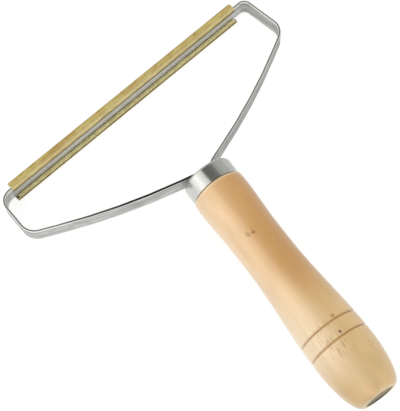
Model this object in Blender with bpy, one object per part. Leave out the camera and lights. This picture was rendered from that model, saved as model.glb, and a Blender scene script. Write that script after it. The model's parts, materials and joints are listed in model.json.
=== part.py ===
"""Lint brush: a bent steel strip carries a wire-wound brass head on a turned wooden handle.

Units are metres and +Z is up. The brush is set down level: the ferrule's front edge and the whole
lower edge of the head touch the ground. +X runs along the head and +Y from the handle to the head.
The sizes below are in the brush's own frame: the origin is the middle of the ferrule's front face,
+X and +Y lie in the plane of the frame's middle, and the steel strip stands on edge in it.
"""

import math

import bmesh
import bpy
from mathutils import Matrix, Vector

MM = 0.001

# General clearances
GAP = 0.30 * MM                    # between a piece and the seat that carries it
FINE_GAP = 0.12 * MM               # between the wound wire and its core

# Steel strip, bent into an open-ended loop
STRIP_WIDTH = 8.2 * MM
STRIP_THICKNESS = 0.9 * MM
STRIP_EDGE_ROUND = 0.2 * MM
FRONT_BAR_Y = 49.4 * MM            # middle of the strip's thickness in the front bar
REAR_BEND_RADIUS = 7.0 * MM
ARM_ROOT_Y = 0.9 * MM              # where the arms' line would meet the tangs
ARM_BOW = 1.75 * MM                # how far the arms bow toward the handle
ARM_BOW_RADIUS = 280.0 * MM
TANG_LENGTH = 30.0 * MM
FRAME_TURN = math.radians(7.9)     # the frame sits askew by this much on the handle

# The loop is bent by hand, so its left and right ends differ; the left one comes first
BARE_END = (1.0 * MM, 3.3 * MM)            # straight strip between the head and the front bend
FRONT_BEND_RADIUS = (5.5 * MM, 3.4 * MM)
SIDE_FLARE = (1.1 * MM, 1.9 * MM)          # how much wider the loop is at its rear bends
SIDE_LENGTH = (20.1 * MM, 22.1 * MM)       # from the front bar back to the rear bend
TANG_BEND_RADIUS = (4.5 * MM, 8.0 * MM)

# Ferrule, a drawn steel cup
FERRULE_LENGTH = 8.0 * MM
FERRULE_FRONT_RADIUS = 11.2 * MM
FERRULE_REAR_RADIUS = 11.0 * MM
FERRULE_WALL = 0.6 * MM
FERRULE_EDGE_RADIUS = 1.5 * MM
TANG_SPREAD = 1.8 * MM             # how far a tang has bent outward where it leaves the cup

# Turned wooden handle, measured along its axis from the joint with the ferrule
HANDLE_LENGTH = 105.1 * MM
JOINT_RADIUS = 11.45 * MM
JOINT_EDGE_RADIUS = 0.5 * MM
SHOULDER_RADIUS = 11.6 * MM
SHOULDER_AT = 4.0 * MM
WAIST_RADIUS = 10.75 * MM
WAIST_AT = 27.5 * MM
WAIST_LENGTH = 8.5 * MM
BULGE_RADIUS = 13.1 * MM
BULGE_TO_BUTT = 22.0 * MM
BUTT_RADIUS = 7.3 * MM
GROOVE_TO_BUTT = (31.4 * MM, 24.5 * MM)
GROOVE_WIDTH = 1.3 * MM
GROOVE_DEPTH = 0.65 * MM
TENON_SETBACK = 3.2 * MM           # from the ferrule's front face to the tenon's end

# Brass head on the front bar: the same parts on its upper and, turned over, on its lower edge
HEAD_LENGTH = 124.4 * MM
HEAD_CENTRE_X = -0.4 * MM
SHEET_THICKNESS = 0.35 * MM
SHEET_LIP = 1.6 * MM               # how far the lip reaches over the strip's face
SHEET_BEND_RADIUS = 0.55 * MM
SHEET_WRAP = math.radians(80.0)    # how far the sheet wraps round the wound roll
CORE_RADIUS = 0.33 * MM
WIRE_RADIUS = 0.13 * MM
WINDING_TURNS = 42
WINDING_END = 0.9 * MM             # straight run at each end of the wire
POINTS_PER_TURN = 8

TURNED_SEGMENTS = 44               # faces round the handle and the ferrule
HANDLE_STATIONS = 18
BUTT_STATIONS = 10
ARC_STEP = math.radians(9.0)

# Sizes that follow from the ones above
CHORD_DIP = math.cos(math.pi / POINTS_PER_TURN)
WINDING_RADIUS = (CORE_RADIUS + FINE_GAP + WIRE_RADIUS) / CHORD_DIP
ROLL_RADIUS = WINDING_RADIUS + WIRE_RADIUS
ROLL_OUT = STRIP_THICKNESS / 2 + GAP + ROLL_RADIUS
SHEET_OFFSET = GAP + SHEET_THICKNESS / 2
ROLL_UP = STRIP_WIDTH / 2 - ROLL_RADIUS
TANG_X = (STRIP_THICKNESS + GAP) / 2
FERRULE_SLOT_WIDTH = 2 * (TANG_X + STRIP_THICKNESS / 2 + TANG_SPREAD + GAP)


def clear_scene():
    """Remove every object that the file came with."""
    for old in list(bpy.data.objects):
        bpy.data.objects.remove(old, do_unlink=True)


def material(name, colour, metallic, roughness):
    """Return a Principled material of one colour."""
    made = bpy.data.materials.new(name)
    made.use_nodes = True
    shader = made.node_tree.nodes["Principled BSDF"]
    shader.inputs["Base Color"].default_value = (*colour, 1.0)
    shader.inputs["Metallic"].default_value = metallic
    shader.inputs["Roughness"].default_value = roughness
    made.diffuse_color = (*colour, 1.0)
    return made


def add_object(name, mesh, finish, parent):
    """Link a mesh as an object under a parent, with one material and smooth round faces."""
    made = bpy.data.objects.new(name, mesh)
    bpy.context.scene.collection.objects.link(made)
    mesh.materials.append(finish)
    mesh.shade_smooth()
    mesh.set_sharp_from_angle(angle=math.radians(35))
    made.parent = parent
    return made


def mesh_from(name, body):
    """Turn a bmesh into a mesh with its faces pointing out, and free it."""
    bmesh.ops.recalc_face_normals(body, faces=body.faces[:])
    mesh = bpy.data.meshes.new(name)
    body.to_mesh(mesh)
    body.free()
    return mesh


def rounded_path(corners):
    """Return a flat polyline through corners given as (x, y, bend radius), each bend a round arc."""
    points = [Vector(corners[0][:2])]
    for before, here, after in zip(corners, corners[1:], corners[2:]):
        corner = Vector(here[:2])
        arrive = (corner - Vector(before[:2])).normalized()
        leave = (Vector(after[:2]) - corner).normalized()
        turn = arrive.angle_signed(leave)
        reach = here[2] * math.tan(abs(turn) / 2)
        start = corner - arrive * reach
        steps = max(4, math.ceil(abs(turn) / ARC_STEP))
        side = Vector((-arrive.y, arrive.x)) * (-1 if turn > 0 else 1)
        centre = start + side * here[2]
        for step in range(steps + 1):
            spoke = start - centre
            spoke.rotate(Matrix.Rotation(-turn * step / steps, 2))
            points.append(centre + spoke)
    points.append(Vector(corners[-1][:2]))
    return points


def side_normals(path):
    """Return the unit normal to the left of a flat polyline at each of its points, mitred."""
    normals = []
    for index in range(len(path)):
        before = path[max(index - 1, 0)]
        here = path[index]
        after = path[min(index + 1, len(path) - 1)]
        arrive = (here - before).normalized() if index else (after - here).normalized()
        leave = (after - here).normalized() if index < len(path) - 1 else arrive
        along = (arrive + leave).normalized()
        stretch = 1.0 / max(along.dot(arrive), 0.5)
        normals.append(Vector((-along.y, along.x)) * stretch)
    return normals


def sweep_body(stations):
    """Join rings of equal point count into one closed body with flat ends."""
    body = bmesh.new()
    rings = [[body.verts.new(point) for point in ring] for ring in stations]
    count = len(rings[0])
    for ring, following in zip(rings, rings[1:]):
        for index in range(count):
            other = (index + 1) % count
            body.faces.new((ring[index], ring[other], following[other], following[index]))
    body.faces.new(rings[0][::-1])
    body.faces.new(rings[-1])
    return body


def turned_body(profile, segments):
    """Turn a profile of (radius, place along +Y) points round the Y axis.

    The profile starts and ends on the axis, where a point becomes one vertex.
    """
    body = bmesh.new()
    rings = []
    for radius, along in profile:
        if radius < 1e-7:
            rings.append([body.verts.new((0.0, along, 0.0))])
            continue
        ring = []
        for index in range(segments):
            angle = 2 * math.pi * (index + 0.5) / segments
            ring.append(body.verts.new((radius * math.cos(angle), along, radius * math.sin(angle))))
        rings.append(ring)
    for ring, following in zip(rings, rings[1:]):
        for index in range(segments):
            other = (index + 1) % segments
            corners = [ring[index % len(ring)], ring[other % len(ring)],
                       following[other % len(following)], following[index % len(following)]]
            unique = [corner for place, corner in enumerate(corners) if corner not in corners[:place]]
            body.faces.new(unique)
    return body


def quarter(centre_radius, centre_along, radius, reach, first, last, steps):
    """Return points of an elliptic arc in a turned profile between two angles."""
    points = []
    for step in range(steps + 1):
        angle = first + (last - first) * step / steps
        points.append((centre_radius + radius * math.sin(angle),
                       centre_along + reach * math.cos(angle)))
    return points


def cut(target, name, size, centre, parent):
    """Cut a box out of a target with an exact Boolean; the box stays as a hidden wire cutter."""
    box = bmesh.new()
    bmesh.ops.create_cube(box, size=1.0)
    bmesh.ops.scale(box, vec=size, verts=box.verts[:])
    bmesh.ops.translate(box, vec=centre, verts=box.verts[:])
    cutter = bpy.data.objects.new(name, mesh_from(name, box))
    bpy.context.scene.collection.objects.link(cutter)
    cutter.parent = parent
    cutter.hide_render = True
    cutter.display_type = "WIRE"
    slot = target.modifiers.new(name, "BOOLEAN")
    slot.operation = "DIFFERENCE"
    slot.solver = "EXACT"
    slot.object = cutter


def half_loop(side):
    """Return the corners of one half of the loop as (x, y, bend radius), in the path's order.

    The side is 0 for the left half, which runs from its tang's end to the front bar, and 1 for
    the right one, which runs back.
    """
    head_end = HEAD_LENGTH / 2 + (HEAD_CENTRE_X if side else -HEAD_CENTRE_X)
    front_x = head_end + BARE_END[side] + FRONT_BEND_RADIUS[side]
    rear_x = front_x + SIDE_FLARE[side]
    rear_y = FRONT_BAR_Y - SIDE_LENGTH[side]
    run = rear_x - TANG_X
    rise = rear_y - ARM_ROOT_Y
    span = math.hypot(run, rise)
    bow_x = (rear_x + TANG_X) / 2 + 2 * ARM_BOW * rise / span
    bow_y = (rear_y + ARM_ROOT_Y) / 2 - 2 * ARM_BOW * run / span
    corners = [
        (front_x, FRONT_BAR_Y, FRONT_BEND_RADIUS[side]),
        (rear_x, rear_y, REAR_BEND_RADIUS),
        (bow_x, bow_y, ARM_BOW_RADIUS),
        (TANG_X, ARM_ROOT_Y, TANG_BEND_RADIUS[side]),
        (TANG_X, -TANG_LENGTH, 0.0),
    ]
    return corners if side else [(-x, y, radius) for x, y, radius in reversed(corners)]


def strip_path():
    """Return the middle line of the bent strip, from the left tang's end to the right one's."""
    return rounded_path(half_loop(0) + half_loop(1))


def build_frame_strip(finish, parent):
    """Bend the flat strip round the loop, with slightly rounded long edges."""
    half_width = STRIP_WIDTH / 2
    half_thick = STRIP_THICKNESS / 2
    soft = STRIP_EDGE_ROUND
    section = []
    for across, up in ((1, 1), (-1, 1), (-1, -1), (1, -1)):
        flat = (across * half_thick, up * (half_width - soft))
        edge = (across * (half_thick - soft), up * half_width)
        section += [flat, edge] if across == up else [edge, flat]
    path = strip_path()
    stations = []
    for point, normal in zip(path, side_normals(path)):
        stations.append([(point.x + normal.x * across, point.y + normal.y * across, up)
                         for across, up in section])
    return add_object("frame_strip", mesh_from("frame_strip", sweep_body(stations)), finish, parent)


def build_ferrule(finish, parent, frame):
    """Draw the cup, open at the rear, and cut the tangs' slot in its front."""
    rear = -FERRULE_LENGTH
    edge = FERRULE_EDGE_RADIUS
    inner_edge = edge - FERRULE_WALL
    front_inside = -FERRULE_WALL
    right_angle = math.pi / 2
    outside = [(0.0, 0.0)]
    outside += quarter(FERRULE_FRONT_RADIUS - edge, -edge, edge, edge, 0.0, right_angle, 6)
    outside += [(FERRULE_REAR_RADIUS, rear), (FERRULE_REAR_RADIUS - FERRULE_WALL, rear)]
    inside = quarter(FERRULE_FRONT_RADIUS - edge, front_inside - inner_edge, inner_edge, inner_edge,
                     right_angle, 0.0, 4)
    profile = outside + inside + [(0.0, front_inside)]
    mesh = mesh_from("ferrule", turned_body(profile, TURNED_SEGMENTS))
    made = add_object("ferrule", mesh, finish, parent)
    height = STRIP_WIDTH + 2 * GAP
    cut(made, "ferrule_slot_cutter", (FERRULE_SLOT_WIDTH, 4 * FERRULE_WALL, height), (0.0, 0.0, 0.0), frame)
    return made


def blend(start, end, share):
    """Ease from one value to another along half a cosine wave."""
    return start + (end - start) * (1 - math.cos(math.pi * share)) / 2


def handle_radius(distance):
    """Return the handle's radius at a distance behind the joint, without its grooves."""
    waist_end = WAIST_AT + WAIST_LENGTH
    bulge_at = HANDLE_LENGTH - BULGE_TO_BUTT
    if distance < SHOULDER_AT:
        return blend(JOINT_RADIUS, SHOULDER_RADIUS, distance / SHOULDER_AT)
    if distance < WAIST_AT:
        return blend(SHOULDER_RADIUS, WAIST_RADIUS, (distance - SHOULDER_AT) / (WAIST_AT - SHOULDER_AT))
    if distance < waist_end:
        return WAIST_RADIUS
    if distance < bulge_at:
        return blend(WAIST_RADIUS, BULGE_RADIUS, (distance - waist_end) / (bulge_at - waist_end))
    share = min((distance - bulge_at) / BULGE_TO_BUTT, 1.0)
    return BUTT_RADIUS + (BULGE_RADIUS - BUTT_RADIUS) * math.sqrt(1 - share * share)


def handle_profile():
    """Return the handle's profile from the tenon's end to the butt, with its grooves."""
    joint = -FERRULE_LENGTH - GAP
    tenon_radius = min(FERRULE_FRONT_RADIUS, FERRULE_REAR_RADIUS) - FERRULE_WALL - GAP
    soft = JOINT_EDGE_RADIUS
    profile = [(0.0, -TENON_SETBACK), (tenon_radius - soft, -TENON_SETBACK),
               (tenon_radius, -TENON_SETBACK - soft), (tenon_radius, joint)]
    profile += quarter(JOINT_RADIUS - soft, joint - soft, soft, soft, 0.0, math.pi / 2, 3)
    bulge_at = HANDLE_LENGTH - BULGE_TO_BUTT
    grooves = [HANDLE_LENGTH - place for place in GROOVE_TO_BUTT]
    stations = [bulge_at * step / HANDLE_STATIONS for step in range(1, HANDLE_STATIONS)]
    stations = [place for place in stations
                if all(abs(place - groove) > GROOVE_WIDTH for groove in grooves)]
    for groove in grooves:
        stations += [groove - GROOVE_WIDTH / 2, groove, groove + GROOVE_WIDTH / 2]
    stations += [bulge_at + BULGE_TO_BUTT * math.sin(math.pi / 2 * step / BUTT_STATIONS)
                 for step in range(BUTT_STATIONS + 1)]
    for place in sorted(stations):
        radius = handle_radius(place)
        if place in grooves:
            radius -= GROOVE_DEPTH
        profile.append((radius, joint - place))
    profile.append((0.0, joint - HANDLE_LENGTH))
    return profile


def build_handle(finish, parent, frame):
    """Turn the handle with its tenon, and cut the tangs' blind slot along the frame's middle."""
    mesh = mesh_from("handle", turned_body(handle_profile(), TURNED_SEGMENTS))
    made = add_object("handle", mesh, finish, parent)
    width = 2 * (STRIP_THICKNESS + 1.5 * GAP)
    height = STRIP_WIDTH + 2 * GAP
    depth = TANG_LENGTH + GAP
    cut(made, "handle_slot_cutter", (width, depth, height), (0.0, -depth / 2, 0.0), frame)
    return made


def sheet_outline():
    """Return the folded sheet's section as (out, up) points round the strip's middle.

    The sheet runs up the strip's face, over its edge and round the wound roll on the other side.
    """
    lip_out = -(STRIP_THICKNESS / 2 + SHEET_OFFSET)
    web_up = STRIP_WIDTH / 2 + SHEET_OFFSET
    wrap_radius = web_up - ROLL_UP
    path = rounded_path([
        (lip_out, STRIP_WIDTH / 2 - SHEET_LIP, 0.0),
        (lip_out, web_up, SHEET_BEND_RADIUS),
        (ROLL_OUT, web_up, 0.0),
    ])
    steps = 9
    for step in range(1, steps + 1):
        angle = math.pi / 2 - SHEET_WRAP * step / steps
        path.append(Vector((ROLL_OUT + wrap_radius * math.cos(angle),
                            ROLL_UP + wrap_radius * math.sin(angle))))
    half = SHEET_THICKNESS / 2
    normals = side_normals(path)
    left = [point + normal * half for point, normal in zip(path, normals)]
    right = [point - normal * half for point, normal in zip(path, normals)]
    return left + right[::-1]


def build_head_side(side, finishes, parent):
    """Build the sheet, the core and the wound wire on one edge of the front bar.

    The upper side has its roll in front of the strip and the lower side has it behind.
    """
    name = "upper" if side > 0 else "lower"
    start = -HEAD_LENGTH / 2

    def place(along, out, up):
        return (HEAD_CENTRE_X + along, FRONT_BAR_Y + side * out, side * up)

    outline = sheet_outline()
    stations = [[place(along, point.x, point.y) for point in outline] for along in (start, -start)]
    sheet = mesh_from(f"{name}_sheet", sweep_body(stations))
    add_object(f"{name}_sheet", sheet, finishes["sheet"], parent)

    core = bmesh.new()
    bmesh.ops.create_cone(core, cap_ends=True, segments=12, radius1=CORE_RADIUS, radius2=CORE_RADIUS,
                          depth=HEAD_LENGTH)
    bmesh.ops.rotate(core, matrix=Matrix.Rotation(math.pi / 2, 3, "Y"), verts=core.verts[:])
    bmesh.ops.translate(core, vec=place(0.0, ROLL_OUT, ROLL_UP), verts=core.verts[:])
    add_object(f"{name}_core", mesh_from(f"{name}_core", core), finishes["core"], parent)

    build_winding(f"{name}_winding", place, finishes["wire"], parent)


def winding_points():
    """Return the wire's points round its core as (along, out, up), one unbroken helix."""
    wound = HEAD_LENGTH - 2 * WINDING_END
    pitch = wound / WINDING_TURNS
    points = []
    for step in range(WINDING_TURNS * POINTS_PER_TURN + 1):
        share = step / POINTS_PER_TURN
        angle = 2 * math.pi * share
        points.append(Vector((pitch * share - wound / 2,
                              ROLL_OUT + WINDING_RADIUS * math.cos(angle),
                              ROLL_UP + WINDING_RADIUS * math.sin(angle))))
    first = points[0] - Vector((WINDING_END, 0.0, 0.0))
    last = points[-1] + Vector((WINDING_END, 0.0, 0.0))
    return [first] + points + [last]


def least_self_gap(points, radius):
    """Return the least clear distance between stretches of a tube a quarter turn or more apart."""
    near = POINTS_PER_TURN // 2
    reach = 2 * POINTS_PER_TURN
    least = math.inf
    for index, point in enumerate(points):
        for other in points[index + near:index + reach]:
            least = min(least, (point - other).length)
    return least - 2 * radius


def build_winding(name, place, finish, parent):
    """Wind the wire round its core as one curve tube with filled ends."""
    points = winding_points()
    print(f"{name}: {WINDING_TURNS} turns, least gap to itself "
          f"{least_self_gap(points, WIRE_RADIUS) / MM:.2f} mm")
    curve = bpy.data.curves.new(name, "CURVE")
    curve.dimensions = "3D"
    curve.bevel_depth = WIRE_RADIUS
    curve.bevel_resolution = 1
    curve.use_fill_caps = True
    spline = curve.splines.new("POLY")
    spline.points.add(len(points) - 1)
    for target, point in zip(spline.points, points):
        target.co = (*place(*point), 1.0)
    curve.materials.append(finish)
    made = bpy.data.objects.new(name, curve)
    bpy.context.scene.collection.objects.link(made)
    made.parent = parent
    return made


def world_points(objects):
    """Return the evaluated mesh points of some objects in world space."""
    view = bpy.context.evaluated_depsgraph_get()
    points = []
    for item in objects:
        evaluated = item.evaluated_get(view)
        mesh = evaluated.to_mesh()
        points += [evaluated.matrix_world @ vertex.co for vertex in mesh.vertices]
        evaluated.to_mesh_clear()
    return points


def lowest_after(points, tilt):
    """Return the lowest height of some points turned by a tilt about the X axis."""
    return min(point.y * math.sin(tilt) + point.z * math.cos(tilt) for point in points)


def lay_down(brush, grip, head, everything):
    """Tilt the brush until grip and head touch the ground, and centre it over the origin."""
    bpy.context.view_layer.update()
    grip_points = world_points(grip)
    head_points = world_points(head)
    low = -math.pi / 4
    high = math.pi / 4
    for _ in range(40):
        tilt = (low + high) / 2
        if lowest_after(head_points, tilt) > lowest_after(grip_points, tilt):
            high = tilt
        else:
            low = tilt
    brush.rotation_euler = (tilt, 0.0, 0.0)
    bpy.context.view_layer.update()
    points = world_points(everything)
    for axis in (0, 1):
        values = [point[axis] for point in points]
        brush.location[axis] = -(min(values) + max(values)) / 2
    brush.location.z = -min(point.z for point in points)
    print(f"resting tilt {math.degrees(tilt):.4f} degrees, brush origin at "
          f"{tuple(round(value / MM, 4) for value in brush.location)} mm")


def main():
    """Build the lint brush and lay it down."""
    clear_scene()
    steel = material("satin_steel", (0.56, 0.56, 0.54), 1.0, 0.32)
    bright = material("polished_steel", (0.66, 0.66, 0.64), 1.0, 0.14)
    wood = material("varnished_wood", (0.72, 0.47, 0.24), 0.0, 0.35)
    brass_sheet = material("brass_sheet", (0.60, 0.45, 0.18), 1.0, 0.38)
    brass_wire = material("brass_wire", (0.55, 0.44, 0.20), 1.0, 0.34)
    core_steel = material("core_steel", (0.45, 0.45, 0.44), 1.0, 0.40)

    brush = bpy.data.objects.new("brush", None)
    grip = bpy.data.objects.new("grip", None)
    for empty in (brush, grip):
        bpy.context.scene.collection.objects.link(empty)
    grip.parent = brush
    grip.rotation_euler = (0.0, 0.0, -FRAME_TURN)

    build_frame_strip(steel, brush)
    held = [build_ferrule(bright, grip, brush), build_handle(wood, grip, brush)]
    finishes = {"sheet": brass_sheet, "core": core_steel, "wire": brass_wire}
    for side in (1, -1):
        build_head_side(side, finishes, brush)

    pieces = [item for item in bpy.data.objects if item.type != "EMPTY" and not item.hide_render]
    head = [item for item in pieces if item.name.endswith(("_sheet", "_core", "_winding"))]
    lay_down(brush, held, head, pieces)


if __name__ == "__main__":
    main()
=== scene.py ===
"""Lint brush: its finished surfaces, finishes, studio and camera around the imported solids.

A flat steel strip is bent into a loop, carries a brass head on its front bar and is set in a steel
ferrule on a turned wooden handle. Sizes are in millimetres in the brush's own frame: the origin is
the middle of the ferrule's front face, +X runs along the head and +Y from the handle to the head.
"""

import json
import logging
import math
from collections.abc import Callable
from dataclasses import dataclass, field
from enum import Enum
from functools import cached_property, partial

import bpy
import numpy as np
from mathutils import Matrix


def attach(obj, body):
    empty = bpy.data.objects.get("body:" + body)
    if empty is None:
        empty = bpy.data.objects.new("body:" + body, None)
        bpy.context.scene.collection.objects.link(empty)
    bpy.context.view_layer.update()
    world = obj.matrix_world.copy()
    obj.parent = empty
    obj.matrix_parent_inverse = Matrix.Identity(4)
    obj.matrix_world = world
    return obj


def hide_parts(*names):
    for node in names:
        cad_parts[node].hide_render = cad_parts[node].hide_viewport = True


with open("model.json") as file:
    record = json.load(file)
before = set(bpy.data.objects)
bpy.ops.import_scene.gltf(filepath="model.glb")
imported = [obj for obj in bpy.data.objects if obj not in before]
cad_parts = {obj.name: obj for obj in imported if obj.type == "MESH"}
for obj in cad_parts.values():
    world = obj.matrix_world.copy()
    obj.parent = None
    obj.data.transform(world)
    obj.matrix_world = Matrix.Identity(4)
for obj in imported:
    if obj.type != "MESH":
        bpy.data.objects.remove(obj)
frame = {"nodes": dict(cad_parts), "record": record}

LOG = logging.getLogger("lint_brush")

Material = bpy.types.Material
Mesh = bpy.types.Mesh
Socket = bpy.types.NodeSocket
Pair = tuple[float, float]
Triple = tuple[float, float, float]

MM = 0.001
GAP = 0.30                    # clearance between a piece and its seat
PLACE = "place_mm"            # attribute: a point's own place on its piece, in millimetres
WEAR_AND_PAINTED_LIGHT = "wear"                 # attribute: 0 on open faces; up to 1 where a finish paints shade in a recess, gap or crease, darkens a cut edge, or paints a face paler; below 0 for a painted highlight
GLOW = "glow"                 # attribute: how bright the studio's arch looks in reflections
FACET_SHARE = math.cos(math.pi / 44)   # the solids have 44 flats; such a round stays inside them
BODY = "root"


class Side(Enum):
    """The two edges of the front bar that carry brass."""

    UPPER = 1
    LOWER = -1

    @property
    def label(self) -> str:
        """Return the side's name in lower case."""
        return self.name.lower()


@dataclass(frozen=True)
class Placement:
    """A frame of millimetres in the world: an origin in metres and three unit axes as columns."""

    origin: np.ndarray
    axes: np.ndarray

    def to_world(self, points: np.ndarray) -> np.ndarray:
        """Return this frame's points in world metres: origin plus each coordinate on its axis."""
        return self.origin + (points * MM) @ self.axes.T

    def to_local(self, points: np.ndarray) -> np.ndarray:
        """Return world points in this frame's millimetres."""
        return (points - self.origin) @ self.axes / MM

    def turned(self, angle: float) -> "Placement":
        """Return this frame turned about its own Z axis by an angle in radians."""
        turn = np.array(Matrix.Rotation(angle, 3, "Z"))
        return Placement(self.origin, self.axes @ turn)


def linear(code: str) -> tuple[float, float, float, float]:
    """Turn an sRGB hex colour into linear red, green, blue and a full alpha.

    Args:
        code: the colour as "#rrggbb".

    Returns:
        The four linear values that a shader socket takes.
    """
    channels = [int(code[place:place + 2], 16) / 255 for place in (1, 3, 5)]
    bent = [value / 12.92 if value <= 0.04045 else ((value + 0.055) / 1.055) ** 2.4
            for value in channels]
    return (bent[0], bent[1], bent[2], 1.0)


def fill(tree: bpy.types.NodeTree, node: bpy.types.Node, inputs: dict | list) -> None:
    """Give a node's sockets their values and links.

    Args:
        tree: the node tree.
        node: the node.
        inputs: output sockets, hex colours and plain values, in order or by socket name or number.
    """
    pairs = inputs.items() if isinstance(inputs, dict) else enumerate(inputs)
    for key, value in pairs:
        if isinstance(value, Socket):
            tree.links.new(value, node.inputs[key])
        else:
            node.inputs[key].default_value = linear(value) if isinstance(value, str) else value


def add_node(tree: bpy.types.NodeTree, kind: str, inputs: dict | list = (), output: int | str = 0,
             **settings) -> Socket | None:
    """Add a node to a tree with its settings, values and links.

    Args:
        tree: the node tree.
        kind: the node's type name, after ShaderNode.
        inputs: what its sockets take, as in fill.
        output: the name or number of the output wanted.
        settings: the node's own properties.

    Returns:
        The output wanted, or nothing where the node has none.
    """
    node = tree.nodes.new(f"ShaderNode{kind}")
    for name, value in settings.items():
        setattr(node, name, value)
    fill(tree, node, inputs)
    return node.outputs[output] if node.outputs else None


def joined(*coordinates: np.ndarray | float) -> np.ndarray:
    """Return coordinates of any matching shapes joined as the last axis of one array."""
    return np.stack(np.broadcast_arrays(*coordinates), axis=-1)


def quads(rows: int, columns: int) -> np.ndarray:
    """Return the faces between the rings of a grid whose columns close round on themselves.

    Args:
        rows: the number of rings.
        columns: the number of points in each ring.

    Returns:
        Four point numbers for each face: a point, its neighbour, and both in the next ring.
    """
    row, column = np.meshgrid(np.arange(rows - 1), np.arange(columns), indexing="ij")
    beside = (column + 1) % columns
    here, ahead = row * columns, (row + 1) * columns
    faces = joined(here + column, here + beside, ahead + beside, ahead + column)
    return faces.reshape(-1, 4)


def ring_solid(name: str, rings: np.ndarray, placement: Placement) -> Mesh:
    """Skin rings of points into one closed body with a flat face on its first and last ring.

    Args:
        name: the mesh's name.
        rings: points in millimetres as (ring, point in ring, coordinate).
        placement: the frame that the points are in.

    Returns:
        The mesh, in world metres, with its faces pointing out.
    """
    count, around = rings.shape[:2]
    first = np.arange(around)[::-1]
    last = np.arange(around) + (count - 1) * around
    faces = quads(count, around).tolist() + [first.tolist(), last.tolist()]
    points = placement.to_world(rings.reshape(-1, 3))
    centre = points.mean(axis=0)
    corners = points[np.array(faces[:-2])] - centre
    volume = np.einsum("ij,ij->", corners[:, 0], np.cross(corners[:, 1], corners[:, 2]))
    volume += np.einsum("ij,ij->", corners[:, 0], np.cross(corners[:, 2], corners[:, 3]))
    if volume < 0:
        faces = [face[::-1] for face in faces]
    mesh = bpy.data.meshes.new(name)
    mesh.from_pydata(points, [], faces)
    mesh.update()
    return mesh


def mesh_points(mesh: Mesh) -> np.ndarray:
    """Return a mesh's points as rows of three."""
    points = np.empty(len(mesh.vertices) * 3, dtype=np.float32)
    mesh.vertices.foreach_get("co", points)
    return points.reshape(-1, 3).astype(float)


def write_values(mesh: Mesh, name: str, values: np.ndarray) -> None:
    """Store a number, or a row of three, for each point under an attribute's name."""
    kind, key = ("FLOAT", "value") if values.ndim == 1 else ("FLOAT_VECTOR", "vector")
    layer = mesh.attributes.new(name, kind, "POINT")
    layer.data.foreach_set(key, values.astype(np.float32).ravel())


def add_object(name: str, data: bpy.types.ID) -> bpy.types.Object:
    """Make an object of a mesh, light or camera and link it to the scene."""
    made = bpy.data.objects.new(name, data)
    bpy.context.scene.collection.objects.link(made)
    return made


def add_piece(name: str, mesh: Mesh, finish: Material, node: str, sharp: float,
              places: np.ndarray, wear: np.ndarray | None = None) -> None:
    """Link a finished mesh as the piece that stands for one of the solids.

    Args:
        name: the piece's name.
        mesh: its mesh, in world metres.
        finish: its material.
        node: the solid that it replaces.
        sharp: the angle in degrees past which an edge stays sharp.
        places: each point's own place on the piece, which the finish's patterns follow.
        wear: each point's value of wear and painted light and shade, if the finish reads it.
    """
    made = add_object(name, mesh)
    mesh.materials.append(finish)
    mesh.shade_smooth()
    mesh.set_sharp_from_angle(angle=math.radians(sharp))
    write_values(mesh, PLACE, places)
    if wear is not None:
        write_values(mesh, WEAR_AND_PAINTED_LIGHT, wear)
    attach(made, BODY)
    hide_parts(node)
    LOG.info("%s: %d points, %d faces", name, len(mesh.vertices), len(mesh.polygons))


def box_rings(size: Triple, centre: Triple) -> np.ndarray:
    """Return a box as two square rings, its rear and its front face."""
    right, up = np.array([(-0.5, 0.5, 0.5, -0.5), (-0.5, -0.5, 0.5, 0.5)])
    ends = np.array([[-0.5], [0.5]])
    return np.array(centre) + np.array(size) * joined(right, ends, up)


def cut_box(mesh: Mesh, size: Triple, centre: Triple, placement: Placement) -> Mesh:
    """Cut a box out of a mesh with an exact Boolean.

    Args:
        mesh: the closed mesh to cut.
        size: the box's size in millimetres.
        centre: the box's centre.
        placement: the frame that the box is in.

    Returns:
        The cut mesh; the box is gone.
    """
    target = add_object("cut_target", mesh)
    tool = add_object("cut_tool", ring_solid("cut_tool", box_rings(size, centre), placement))
    cut = target.modifiers.new("cut", "BOOLEAN")
    cut.operation = "DIFFERENCE"
    cut.solver = "EXACT"
    cut.object = tool
    evaluated = target.evaluated_get(bpy.context.evaluated_depsgraph_get())
    result = bpy.data.meshes.new_from_object(evaluated)
    for item in (target, tool):
        bpy.data.objects.remove(item, do_unlink=True)
    return result


def turned_rings(profile: np.ndarray, around: int) -> np.ndarray:
    """Turn a profile round the Y axis.

    Each point (radius, place) becomes a ring (radius·cos a, place, radius·sin a), with a going
    evenly round the full turn.

    Args:
        profile: rows of radius and place along +Y.
        around: the number of points in a ring.

    Returns:
        The rings as (ring, point in ring, coordinate).
    """
    angle = 2 * np.pi * (np.arange(around) + 0.5) / around
    radius, place = profile[:, :1], profile[:, 1:]
    return joined(radius * np.cos(angle), place, radius * np.sin(angle))


def arc(centre: Pair, radius: float, first: float, last: float, steps: int) -> np.ndarray:
    """Return a flat arc: centre + radius·(sin a, cos a) from the first angle to the last."""
    angle = np.linspace(first, last, steps + 1)
    return np.array(centre) + radius * joined(np.sin(angle), np.cos(angle))


def unit(rows: np.ndarray) -> np.ndarray:
    """Return rows scaled to a length of one."""
    return rows / np.linalg.norm(rows, axis=-1, keepdims=True)


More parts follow.
